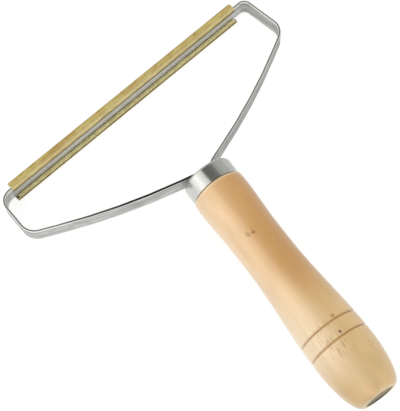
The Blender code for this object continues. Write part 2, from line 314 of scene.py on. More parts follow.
def rounded_path(corners: list[Triple], step: float) -> np.ndarray:
    """Carry a flat line through corners, each turned by an arc of its own radius.

    An arc starts where the line is a tangent to it, radius·tan(turn / 2) before the corner. Its
    points are its centre plus the first spoke turned by even shares of the corner's turn.

    Args:
        corners: rows of x, y and bend radius; the first and last are the line's ends.
        step: the largest angle between two points of an arc, in radians.

    Returns:
        The line's points, one row each.
    """
    spots = np.array([corner[:2] for corner in corners], dtype=float)
    runs = unit(np.diff(spots, axis=0))
    pieces = [spots[:1]]
    bends = [radius for _, _, radius in corners[1:-1]]
    for corner, arrive, leave, radius in zip(spots[1:-1], runs, runs[1:], bends):
        turn = math.atan2(arrive[0] * leave[1] - arrive[1] * leave[0], float(arrive @ leave))
        start = corner - arrive * radius * math.tan(abs(turn) / 2)
        spoke = np.array([arrive[1], -arrive[0]]) * math.copysign(radius, turn)
        angle = np.linspace(0.0, turn, max(3, math.ceil(abs(turn) / step)) + 1)
        across = np.array([-spoke[1], spoke[0]])
        turned = np.outer(np.cos(angle), spoke) + np.outer(np.sin(angle), across)
        pieces.append(start - spoke + turned)
    pieces.append(spots[-1:])
    return np.concatenate(pieces)


def side_normals(path: np.ndarray) -> np.ndarray:
    """Return the mitred normal to the left of a flat line at each of its points.

    The normal is square to the mean of the runs before and after the point, and longer by one over
    the cosine between the mean and a run, so that an offset line keeps its distance.
    """
    runs = unit(np.diff(path, axis=0))
    arrive = np.concatenate([runs[:1], runs])
    leave = np.concatenate([runs, runs[-1:]])
    along = unit(arrive + leave)
    stretch = 1.0 / np.maximum(np.sum(along * arrive, axis=1), 0.5)
    return joined(-along[:, 1], along[:, 0]) * stretch[:, None]


def path_lengths(path: np.ndarray) -> np.ndarray:
    """Return the distance along a line to each of its points."""
    return np.concatenate([[0.0], np.cumsum(np.linalg.norm(np.diff(path, axis=0), axis=1))])


class Surface:
    """A new material with one Principled shader, whose patterns follow the piece's own places."""

    def __init__(self, name: str) -> None:
        """Make the material."""
        self.material = bpy.data.materials.new(name)
        self.material.use_nodes = True
        self.node = partial(add_node, self.material.node_tree)

    @cached_property
    def place(self) -> Socket:
        """Return each point's own place on its piece, in millimetres."""
        return self.node("Attribute", output="Vector", attribute_name=PLACE)

    @cached_property
    def wear(self) -> Socket:
        """Return each point's value of wear and painted light and shade."""
        return self.node("Attribute", output="Fac", attribute_name=WEAR_AND_PAINTED_LIGHT)

    def pattern(self, grain: Triple, **inputs: float) -> Socket:
        """Add a noise over the piece.

        Args:
            grain: the size of its grains along the three axes, in millimetres.
            inputs: the noise's own inputs.

        Returns:
            The noise, mostly between 0.3 and 0.7.
        """
        place = self.node("VectorMath", [self.place, grain], operation="DIVIDE")
        return self.node("TexNoise", {"Vector": place, "Scale": 1.0, **inputs}, "Fac")

    def spot(self, middle: Triple, reach: Triple, ragged: Socket, amount: float) -> Socket:
        """Measure from the middle of an oval spot with a ragged edge.

        Args:
            middle: the spot's middle, in millimetres.
            reach: its half lengths along the three axes.
            ragged: the noise that its edge follows.
            amount: how much of the noise is added.

        Returns:
            The distance in shares of the reach, plus the noise.
        """
        away = self.node("VectorMath", [self.place, middle], operation="SUBTRACT")
        away = self.node("VectorMath", [away, reach], operation="DIVIDE")
        away = self.node("VectorMath", [away], "Value", operation="LENGTH")
        return self.node("Math", [ragged, amount, away], operation="MULTIPLY_ADD")

    def layered(self, colour: Socket | str, *layers: tuple) -> Socket:
        """Lay colours over a colour.

        Args:
            colour: the lowest colour.
            layers: from the lowest one up, each as a pattern, two values of it, the shares that the
                layer covers at these values, and its colour.

        Returns:
            The colour that is seen.
        """
        for pattern, low, high, first, last, over in layers:
            share = self.node("MapRange", [pattern, low, high, first, last])
            colour = self.node("Mix", {0: share, 6: colour, 7: over}, 2, data_type="RGBA")
        return colour

    def finished(self, inputs: dict) -> Material:
        """Give the shader its inputs and return the material."""
        tree = self.material.node_tree
        fill(tree, tree.nodes["Principled BSDF"], inputs)
        return self.material


@dataclass(frozen=True)
class VarnishedWood:
    """Turned birch under a satin clear varnish.

    A pale wood with soft grain along the handle. The varnish gives it a honey colour at the neck.
    Across the handle its tone is painted paler on the left as a highlight and deeper on the right as
    shade, most at the neck; it is painted darker at the butt's left, where that highlight fades, and
    paler along the rounded edge at the ferrule as a painted highlight. The grooves are darker, and
    the tenon inside the ferrule is painted darker as the shade in the joint's gap. Planes of short
    tool marks stand near the grooves, and a few small knots are darker.
    """

    butt_tone_and_painted_light: tuple[str, str] = ("#ecd2a8", "#e8c07c")    # toward the butt: the wood's tone, painted paler on the lit left and deeper on the right as shade
    honey: tuple[str, str] = ("#ecc898", "#dfa146")      # at the neck: the wood's tone, painted paler on the lit left and deeper on the right as shade
    deep: str = "#be8222"              # at the neck's far right: painted shade over the wood's tone
    warm: str = "#c98f3c"              # the patch on the neck
    low: str = "#c6a05a"               # painted shade at the butt's left, where the painted highlight fades
    fibre: str = "#bb9050"
    # dark tool marks, the darker grooves, and the tenon's painted shade in the joint's gap
    groove: str = "#a4722e"
    # pale tool marks, and the painted highlight along the rounded edge at the ferrule
    rim: str = "#ecd4a4"
    clouds: Triple = (7.6923, 25.641, 7.6923)
    fibres: Triple = (0.9, 24.0, 0.9)  # drawn coarser than the real 0.05 mm, so that they show
    bands: Triple = (4.5, 18.0, 4.5)   # early and late wood
    marks: Triple = (0.5, 3.6, 0.5)    # of the turning tool
    across: Triple = (0.958, 0.0, 0.287)   # from the lit left side to the shaded right side
    sides: Pair = (-4.0, 10.0)         # how far across, from left to right
    neck: Pair = (-68.0, -42.0)        # along the handle, where the neck's colours begin
    butt: Pair = (-106.0, -88.6)       # and where the painted shade at the butt's left fades
    front_edge_highlight: Pair = (-9.8, -8.9)     # and the painted highlight along the rounded edge at the ferrule
    # middle and half lengths of the warm patch and of the planes of tool marks
    patch: tuple[Triple, Triple] = ((3.0, -47.62, 6.667), (11.111, 23.81, 11.111))
    planes: tuple[Triple, Triple] = ((-4.0, -88.46, 12.0), (5.0, 7.692, 5.0))
    # middle, radius and colour of each knot
    knots: tuple[tuple[float, float, float, float, str], ...] = (
        (4.8, -103.5, 11.2, 3.4, "#d9b670"), (-3.5, -111.2, 9.2, 2.2, "#dcaa68"),
        (-4.8, -112.5, 7.5, 0.9, "#c49444"), (0.4, -87.3, 13.0, 0.55, "#4a2606"),
        (2.0, -80.7, 12.6, 0.6, "#b07c3a"), (-4.0, -34.8, 9.9, 0.9, "#a87c38"),
        (-4.3, -33.7, 9.9, 0.7, "#b08848"), (-1.8, -35.2, 10.6, 0.5, "#a86208"),
        (-1.7, -34.3, 10.6, 0.28, "#c4842e"), (-1.6, -33.4, 10.7, 0.28, "#c88c3a"))

    def build(self) -> Material:
        """Return the wood's material."""
        made = Surface("varnished_birch")
        node = made.node
        clouds = made.pattern(self.clouds, Detail=3.0)
        fibres = made.pattern(self.fibres, Detail=3.0, Roughness=0.6)
        bands = made.pattern(self.bands)
        marks = made.pattern(self.marks, Detail=0.0)
        along = node("SeparateXYZ", [made.place], "Y")
        # side runs across the handle from its lit left to its shaded right; the colours laid along
        # it paint light and shade over the wood's tone
        side = node("VectorMath", [made.place, self.across], "Value", operation="DOT_PRODUCT")
        side = node("Math", [clouds, 8.0, side], operation="MULTIPLY_ADD")
        neck = node("Math", [clouds, 22.0, along], operation="MULTIPLY_ADD")
        # low: the share of painted shade at the butt's left
        low = node("MapRange", [along, *self.butt, 1.0, 0.0])
        patch = made.spot(*self.patch, clouds, 1.6)
        planes = made.spot(*self.planes, clouds, 0.0)
        planes = node("MapRange", [planes, 0.6, 1.3, 0.45, 0.0])
        dark = node("MapRange", [marks, 0.58, 0.66, 0.0, planes])
        honey = made.layered(self.honey[0], (side, *self.sides, 0.0, 1.0, self.honey[1]),
                             (side, 9.0, 16.0, 0.0, 0.6, self.deep))
        knots = [(made.spot((x, y, z), (radius,) * 3, bands, 3.0), 1.8, 2.9, 0.85, 0.0, colour)
                 for x, y, z, radius, colour in self.knots]
        colour = made.layered(
            self.butt_tone_and_painted_light[0], (side, *self.sides, 0.0, 1.0, self.butt_tone_and_painted_light[1]),
            (neck, *self.neck, 0.0, 1.0, honey), (side, 1.6, 7.2, low, 0.0, self.low),
            (patch, 0.9, 1.9, 0.6, 0.0, self.warm), (bands, 0.45, 0.7, 0.0, 0.2, self.fibre),
            (fibres, 0.5, 0.75, 0.0, 0.12, self.fibre), (marks, 0.36, 0.44, planes, 0.0, self.rim),
            (dark, 0.0, 1.0, 0.0, 1.0, self.groove), *knots,
            (along, *self.front_edge_highlight, 0.0, 0.7, self.rim),
            (made.wear, 0.1, 1.0, 0.0, 0.7, self.groove))
        waves = node("Math", [dark, -0.5, bands], operation="MULTIPLY_ADD")
        return made.finished({
            "Base Color": colour, "IOR": 1.55, "Specular IOR Level": 0.9, "Coat Weight": 1.0,
            "Coat IOR": 1.6, "Coat Roughness": 0.24,
            "Roughness": node("MapRange", [fibres, 0.3, 0.7, 0.36, 0.48]),
            "Normal": node("Bump", {"Height": waves, "Distance": 0.2 * MM, "Strength": 0.5})})


@dataclass(frozen=True)
class SawnEndGrain:
    """Birch sawn across at the handle's flat end: matt and open pored, painted dark grey toward its
    lower side as shade, with a painted highlight round its rim.
    """

    colour: str = "#b0a48c"
    pore: str = "#8f846c"
    # painted shade toward the end's lower side
    lower_shade: str = "#4c4a42"
    # painted highlight round the end's edge
    rim: str = "#e6d8b4"
    pores: Triple = (0.5, 0.5, 0.5)    # drawn coarser than the real 0.1 mm

    def build(self) -> Material:
        """Return the end's material."""
        made = Surface("sawn_end_grain")
        node = made.node
        pores = made.pattern(self.pores)
        up = node("SeparateXYZ", [made.place], "Z")
        flat = node("VectorMath", [made.place, (1.0, 0.0, 1.0)], operation="MULTIPLY")
        radius = node("VectorMath", [flat], "Value", operation="LENGTH")
        colour = made.layered(self.colour, (pores, 0.4, 0.65, 0.0, 1.0, self.pore),
                              (up, -4.0, 0.5, 1.0, 0.0, self.lower_shade),
                              (radius, 5.9, 6.4, 0.0, 1.0, self.rim))
        return made.finished({
            "Base Color": colour, "Roughness": 0.9, "Specular IOR Level": 0.1,
            "Normal": node("Bump", {"Height": pores, "Distance": 0.05 * MM, "Strength": 0.6})})


@dataclass(frozen=True)
class PolishedSteel:
    """Drawn sheet steel, polished and plated.

    A near mirror that repeats the studio in bands along the cup, with faint lengthwise streaks from
    the drawing die and a slightly uneven wall.
    """

    colour: str = "#cccdc9"
    streaks: Triple = (0.5, 7.0, 0.5)  # drawn coarser than the real 0.02 mm
    dents: Triple = (3.0, 3.0, 3.0)

    def build(self) -> Material:
        """Return the ferrule's material."""
        made = Surface("polished_drawn_steel")
        node = made.node
        streaks = made.pattern(self.streaks)
        height = node("Math", [streaks, 0.12, made.pattern(self.dents)], operation="MULTIPLY_ADD")
        return made.finished({
            "Base Color": self.colour, "Metallic": 1.0,
            "Roughness": node("MapRange", [streaks, 0.35, 0.65, 0.10, 0.2]),
            "Normal": node("Bump", {"Height": height, "Distance": 0.05 * MM, "Strength": 0.6})})


@dataclass(frozen=True)
class StripSteel:
    """Cold rolled and plated strip steel.

    A satin light grey with fine streaks along the strip from the rolls. Its rounded edges are
    smoother than its faces, so they show the dark and the bright parts of the room, and their colour
    is painted darker as a dark reflection, darkest on the left arm near the ferrule as painted
    shade.
    Pale bands near the edges are a painted highlight, the front bar's face is painted paler against
    its shade, and a painted shadow line runs along the bar under the upper sheet's lip.
    """

    colour: str = "#cbccc9"
    stained: str = "#7a7d7a"
    painted_highlight: str = "#f0f0ec"              # painted highlight: pale bands near the edges, and the front bar's face painted paler against its shade
    # the rounded edges, painted darker as a dark reflection
    edge: str = "#8f908c"
    shaded: str = "#343836"            # the left arm's edges near the ferrule
    lip_shadow: str = "#4c4434"             # painted shadow on the bar, under the upper sheet's lip
    streaks: Triple = (16.0, 0.5, 0.5)     # drawn coarser than the real 0.05 mm roll marks
    stains: Triple = (7.1429, 7.1429, 7.1429)
    edge_height: float = 3.85          # where the rounded edges start, from the strip's middle
    shaded_to: Pair = (62.0, 92.0)     # along the strip, where the shade fades
    lip_shadow_height: float = 1.2          # of the painted shadow line, from the strip's middle

    def build(self) -> Material:
        """Return the strip's material."""
        made = Surface("cold_rolled_steel")
        node, wear, rounding = made.node, made.wear, self.edge_height
        streaks = made.pattern(self.streaks, Detail=3.0, Roughness=0.6)
        stains = made.pattern(self.stains, Detail=3.0)
        along = node("SeparateXYZ", [made.place], "X")
        height = node("SeparateXYZ", [made.place], "Z")
        up = node("Math", [height], operation="ABSOLUTE")
        satin = node("MapRange", [streaks, 0.35, 0.65, 0.32, 0.46])
        satin = node("MapRange", [up, rounding, rounding + 0.1, satin, 0.2])
        # pale: a painted highlight near the edges and on the front bar's face
        pale = node("MapRange", [up, rounding - 0.75, rounding - 0.6, 0.0, 0.9])
        pale = node("Math", [pale, wear], operation="MAXIMUM")
        shade = node("MapRange", [along, *self.shaded_to, 1.0, 0.0])
        rim = node("Math", [shade, 0.4, up], operation="MULTIPLY_ADD")
        # a painted shadow line on the front bar, under the upper sheet's lip
        lip = node("Math", [height, self.lip_shadow_height], operation="SUBTRACT")
        lip = node("Math", [lip], operation="ABSOLUTE")
        line = node("Math", [wear, 1.5], operation="MULTIPLY")
        # the edges' colour, painted darker as a dark reflection and as shade near the ferrule
        edge = made.layered(self.edge, (shade, 0.0, 1.0, 0.0, 1.0, self.shaded))
        colour = made.layered(
            self.colour, (streaks, 0.42, 0.62, 0.0, 0.8, self.stained),
            (stains, 0.5, 0.75, 0.0, 0.5, self.stained), (pale, 0.0, 1.0, 0.0, 1.0, self.painted_highlight),
            (rim, rounding + 0.2, rounding + 0.25, 0.0, 1.0, edge),
            (lip, 0.15, 0.5, line, 0.0, self.lip_shadow))
        return made.finished({
            "Base Color": colour, "Roughness": satin,
            "Metallic": node("MapRange", [wear, 0.0, 1.0, 0.5, 0.15]),
            "Normal": node("Bump", {"Height": streaks, "Distance": 0.012 * MM, "Strength": 0.5})})


@dataclass(frozen=True)
class SheetBrass:
    """Rolled brass sheet, folded over the strip.

    A pale yellow metal, satin and mottled by handling, brown at its cut edge. It is also painted
    darker down the lip and round the roll's outer side as shade, and paler along the fold as a
    painted highlight.
    """

    colour: str = "#ecd98c"
    dull: str = "#c4a858"
    tarnish: str = "#c08c4c"
    bright: str = "#fff4c8"            # painted highlight along the fold, where the attribute is below 0
    # the cut edges' brown, also painted down the lip and round the roll's outer side as shade
    edge: str = "#7a6b3c"
    mottle: Triple = (4.3333, 1.3, 1.3)
    stains: Triple = (15.1515, 4.5455, 4.5455)
    dents: Triple = (0.52632, 0.52632, 0.52632)

    def build(self) -> Material:
        """Return the sheets' material."""
        made = Surface("rolled_brass")
        mottle = made.pattern(self.mottle, Detail=4.0, Roughness=0.65)
        colour = made.layered(
            self.colour, (mottle, 0.4, 0.66, 0.0, 1.0, self.dull),
            (made.pattern(self.stains, Detail=1.0), 0.48, 0.66, 0.0, 0.35, self.tarnish),
            (made.wear, 0.0, 1.0, 0.0, 1.0, self.edge),
            (made.wear, -1.0, 0.0, 0.8, 0.0, self.bright))
        return made.finished({
            "Base Color": colour, "Metallic": 0.5,
            "Roughness": made.node("MapRange", [mottle, 0.3, 0.7, 0.38, 0.55]),
            "Normal": made.node("Bump", {"Height": made.pattern(self.dents), "Distance": 0.05 * MM,
                                         "Strength": 0.5})})


@dataclass(frozen=True)
class WireBrass:
    """Fine drawn brass wire.

    Greyer than the sheet and bright on each turn's crown; between the turns it is painted dull and
    darker as the shade in the gaps, over dull patches of its own.
    """

    colour: str = "#f8eeb4"
    # dull patches, and the painted shade between the turns
    dull: str = "#b4a86c"
    patches: Triple = (2.0, 2.0, 2.0)

    def build(self) -> Material:
        """Return the wire's material."""
        made = Surface("drawn_brass_wire")
        patches = made.pattern(self.patches)
        colour = made.layered(self.colour, (patches, 0.4, 0.7, 0.0, 0.4, self.dull),
                              (made.wear, 0.3, 1.0, 0.0, 0.9, self.dull))
        return made.finished({"Base Color": colour, "Metallic": 0.4, "Roughness": 0.42})


@dataclass(frozen=True)
class RodSteel:
    """Drawn steel rod, the core that the wire is wound on: plain grey with faint drawing lines."""

    colour: str = "#9b9a90"
    dark: str = "#7c7b72"
    lines: Triple = (0.01, 0.0004, 0.0004)     # in metres

    def build(self) -> Material:
        """Return the cores' material, which reads the solid's own coordinates in metres."""
        made = Surface("drawn_steel_rod")
        made.place = made.node("TexCoord", output="Object")
        lines = made.pattern(self.lines)
        return made.finished({
            "Base Color": made.layered(self.colour, (lines, 0.0, 1.0, 0.0, 1.0, self.dark)),
            "Metallic": 1.0, "Roughness": made.node("MapRange", [lines, 0.3, 0.7, 0.3, 0.45])})


@dataclass
class Ferrule:
    """A drawn steel cup over the handle's front end, open at the rear and slotted for the tangs."""

    placement: Placement
    strip: "FrameStrip"
    length: float = 8.0
    front_radius: float = 11.2
    rear_radius: float = 11.0
    wall: float = 0.6
    edge_radius: float = 1.5
    around: int = 144

    def profile(self) -> np.ndarray:
        """Return the cup's wall as one open profile, from its outer front face to its inner one."""
        outer, inner = self.edge_radius, self.edge_radius - self.wall
        shoulder = self.front_radius - self.edge_radius
        lip = self.wall / 2
        front = arc((shoulder, -outer), outer, 0.0, np.pi / 2, 14)
        rim = arc((self.rear_radius - lip, -self.length + lip), lip, np.pi / 2, 1.5 * np.pi, 10)
        back = arc((shoulder, -self.wall - inner), inner, np.pi / 2, 0.0, 10)
        profile = np.concatenate([front, rim, back])
        profile[:, 0] *= FACET_SHARE
        return profile

    def build(self, finish: Material) -> None:
        """Make the cup, cut its slot and add it."""
        mesh = ring_solid("ferrule_cup", turned_rings(self.profile(), self.around), self.placement)
        size = (self.strip.slot_width, 4 * self.wall, self.strip.width + 2 * GAP)
        mesh = cut_box(mesh, size, (0.0, 0.0, 0.0), self.strip.placement)
        add_piece("ferrule_cup", mesh, finish, "ferrule", 40.0,
                  self.placement.to_local(mesh_points(mesh)))


@dataclass
class Handle:
    """The turned handle: a tenon in the ferrule, a shoulder, a waist, a bulge and a rounded butt.

    Distances are measured from the joint with the ferrule toward the butt.
    """

    placement: Placement
    strip: "FrameStrip"
    ferrule: Ferrule
    length: float = 105.1
    joint_radius: float = 11.45
    joint_edge: float = 0.5
    shoulder: Pair = (4.0, 11.6)
    waist: Pair = (27.5, 10.75)
    waist_length: float = 8.5
    bulge_radius: float = 13.1
    bulge_to_butt: float = 22.0
    butt_radius: float = 7.3
    grooves_to_butt: Pair = (31.4, 24.5)
    groove_width: float = 1.3
    groove_depth: float = 0.65
    tenon_setback: float = 3.2
    around: int = 144
    spacing: float = 0.8

    def radius(self, distance: np.ndarray) -> np.ndarray:
        """Return the handle's radius without its grooves.

        Between the joint, shoulder, waist and bulge it eases along half cosine waves, with a short
        straight waist, and from the bulge to the butt it follows a quarter of an ellipse.
        """
        bulge_at = self.length - self.bulge_to_butt
        waist_at, waist_radius = self.waist
        spots = np.array([0.0, self.shoulder[0], waist_at, waist_at + self.waist_length, bulge_at])
        radii = np.array([self.joint_radius, self.shoulder[1], waist_radius, waist_radius,
                          self.bulge_radius])
        part = np.clip(np.searchsorted(spots, distance, side="right") - 1, 0, 3)
        share = (distance - spots[part]) / (spots[part + 1] - spots[part])
        eased = radii[part] + (radii[part + 1] - radii[part]) * (1 - np.cos(np.pi * share)) / 2
        fall = np.clip((distance - bulge_at) / self.bulge_to_butt, 0.0, 1.0)
        drop = self.bulge_radius - self.butt_radius
        curved = self.butt_radius + drop * np.sqrt(1 - fall * fall)
        return np.where(distance < bulge_at, eased, curved)

    def groove_cut(self, distance: np.ndarray) -> np.ndarray:
        """Return how deep the V grooves cut: full at their middle, nothing at their lips."""
        spots = self.length - np.array(self.grooves_to_butt)
        away = np.min(np.abs(distance[:, None] - spots), axis=1) / (self.groove_width / 2)
        return self.groove_depth * np.clip(1 - away, 0.0, 1.0) ** 0.9

    def stations(self) -> np.ndarray:
        """Return the rings' distances: even on the body, close in the grooves and at the butt."""
        bulge_at = self.length - self.bulge_to_butt
        even = np.arange(self.joint_edge + self.spacing, bulge_at, self.spacing)
        spots = self.length - np.array(self.grooves_to_butt)
        fine = (spots[:, None] + np.linspace(-1.0, 1.0, 11) * self.groove_width * 0.6).ravel()
        even = even[np.min(np.abs(even[:, None] - spots), axis=1) > self.groove_width * 0.7]
        butt = bulge_at + self.bulge_to_butt * np.sin(np.linspace(0.0, np.pi / 2, 36))
        return np.unique(np.round(np.concatenate([even, fine, butt]), 4))

    def profile(self) -> np.ndarray:
        """Return the handle's profile from the tenon's face to the butt's."""
        joint = -self.ferrule.length - GAP
        cup = min(self.ferrule.front_radius, self.ferrule.rear_radius)
        tenon = cup - self.ferrule.wall - GAP
        soft = self.joint_edge
        front = np.array([(tenon - soft, -self.tenon_setback), (tenon, -self.tenon_setback - soft),
                          (tenon, joint + 0.01), (tenon + 0.05, joint)])
        lip = arc((self.joint_radius - soft, joint - soft), soft, 0.0, np.pi / 2, 6)
        distance = self.stations()
        radius = self.radius(distance) - self.groove_cut(distance)
        body = joined(radius, joint - distance)
        profile = np.concatenate([front, lip, body])
        profile[:, 0] *= FACET_SHARE
        return profile

    def build(self, finish: Material, end_finish: Material) -> None:
        """Make the handle, cut the tangs' blind slot, add it and finish its flat end."""
        rings = turned_rings(self.profile(), self.around)
        mesh = ring_solid("turned_handle", rings, self.placement)
        strip = self.strip
        depth = strip.tang_length + GAP
        size = (2 * (strip.thickness + 1.5 * GAP), depth, strip.width + 2 * GAP)
        mesh = cut_box(mesh, size, (0.0, -depth / 2, 0.0), strip.placement)
        places = self.placement.to_local(mesh_points(mesh))
        distance = -self.ferrule.length - GAP - places[:, 1]
        radial = np.hypot(places[:, 0], places[:, 2])
        outside = self.radius(np.clip(distance, 0.0, self.length)) * FACET_SHARE
        # the grooves are darker by how deep a point lies in them, and the tenon inside the ferrule
        # (seat) is painted darker as the shade in the joint's gap
        recess = (outside - radial) / self.groove_depth
        middle = (distance > 20.0) & (distance < self.length - 10.0)
        seat = np.clip(1.0 - distance / 0.4, 0.0, 1.0)
        wear = np.clip(np.where(middle, recess, seat), 0.0, 1.0)
        add_piece("turned_handle", mesh, finish, "handle", 32.0, places, wear)
        mesh.materials.append(end_finish)
        for face in mesh.polygons:
            face.material_index = int(distance[list(face.vertices)].min() > self.length - 0.001)


@dataclass
class FrameStrip:
    """The flat steel strip: a hand-bent loop with unlike sides, whose two ends are the tangs."""

    placement: Placement | None = None
    head_length: float = 124.4
    head_x: float = -0.4               # the head's middle
    width: float = 8.2
    thickness: float = 0.9
    edge_round: float = 0.25
    front_bar_y: float = 49.4
    rear_bend: float = 7.0
    arm_root_y: float = 0.9
    arm_bow: float = 1.75
    arm_bow_radius: float = 280.0
    tang_bend: Pair = (4.5, 8.0)
    tang_length: float = 30.0
    tang_spread: float = 1.8
    bare_end: Pair = (1.0, 3.3)
    front_bend: Pair = (5.5, 3.4)
    side_flare: Pair = (1.1, 1.9)
    side_length: Pair = (20.1, 22.1)
    # how much the front bar's face is painted paler, and how dark its painted shadow line under the
    # lip is
    bar_wear: float = 0.6

    @property
    def tang_x(self) -> float:
        """Return how far a tang's middle is from the brush's middle."""
        return (self.thickness + GAP) / 2

    @property
    def slot_width(self) -> float:
        """Return the width of the ferrule's slot, which the parting tangs need."""
        return 2 * (self.tang_x + self.thickness / 2 + self.tang_spread + GAP)

    def half_loop(self, side: int) -> list[Triple]:
        """Return the corners of the left (0) or right (1) half of the loop, in the path's order.

        The arm's middle corner stands off the straight line by twice the bow, which an arc of the
        bow's radius then halves.
        """
        head_end = self.head_length / 2 + (self.head_x if side else -self.head_x)
        front_x = head_end + self.bare_end[side] + self.front_bend[side]
        rear_x = front_x + self.side_flare[side]
        rear_y = self.front_bar_y - self.side_length[side]
        run, rise = rear_x - self.tang_x, rear_y - self.arm_root_y
        span = math.hypot(run, rise)
        bow_x = (rear_x + self.tang_x) / 2 + 2 * self.arm_bow * rise / span
        bow_y = (rear_y + self.arm_root_y) / 2 - 2 * self.arm_bow * run / span
        corners = [(front_x, self.front_bar_y, self.front_bend[side]),
                   (rear_x, rear_y, self.rear_bend), (bow_x, bow_y, self.arm_bow_radius),
                   (self.tang_x, self.arm_root_y, self.tang_bend[side]),
                   (self.tang_x, -self.tang_length, 0.0)]
        return corners if side else [(-x, y, radius) for x, y, radius in reversed(corners)]

    def section(self) -> np.ndarray:
        """Return the strip's section as (across, up) points: a rectangle with rounded corners."""
        soft, quarter = self.edge_round, np.pi / 2
        across, up = self.thickness / 2 - soft, self.width / 2 - soft
        middles = ((across, up), (-across, up), (-across, -up), (across, -up))
        return np.concatenate([arc(middle, soft, (1 - turn) * quarter, -turn * quarter, 8)
                               for turn, middle in enumerate(middles)])

    def build(self, finish: Material) -> None:
        """Carry the section along the loop: a point is path + normal·across, at its height up."""
        path = rounded_path(self.half_loop(0) + self.half_loop(1), math.radians(3.0))
        normals = side_normals(path)
        across, up = self.section().T
        flat = path[:, None] + normals[:, None] * across[:, None]
        rings = joined(flat[:, :, 0], flat[:, :, 1], up)
        mesh = ring_solid("bent_strip", rings, self.placement)
        places = joined(path_lengths(path)[:, None], 4.0 * across, up)
        # the front bar's face: its finish paints it paler against its shade and adds a painted
        # shadow line under the lip
        wear = np.where(rings[:, :, 1] > self.front_bar_y - 0.5, self.bar_wear, 0.0)
        add_piece("bent_strip", mesh, finish, "frame_strip", 50.0,
                  places.reshape(-1, 3), wear.ravel())


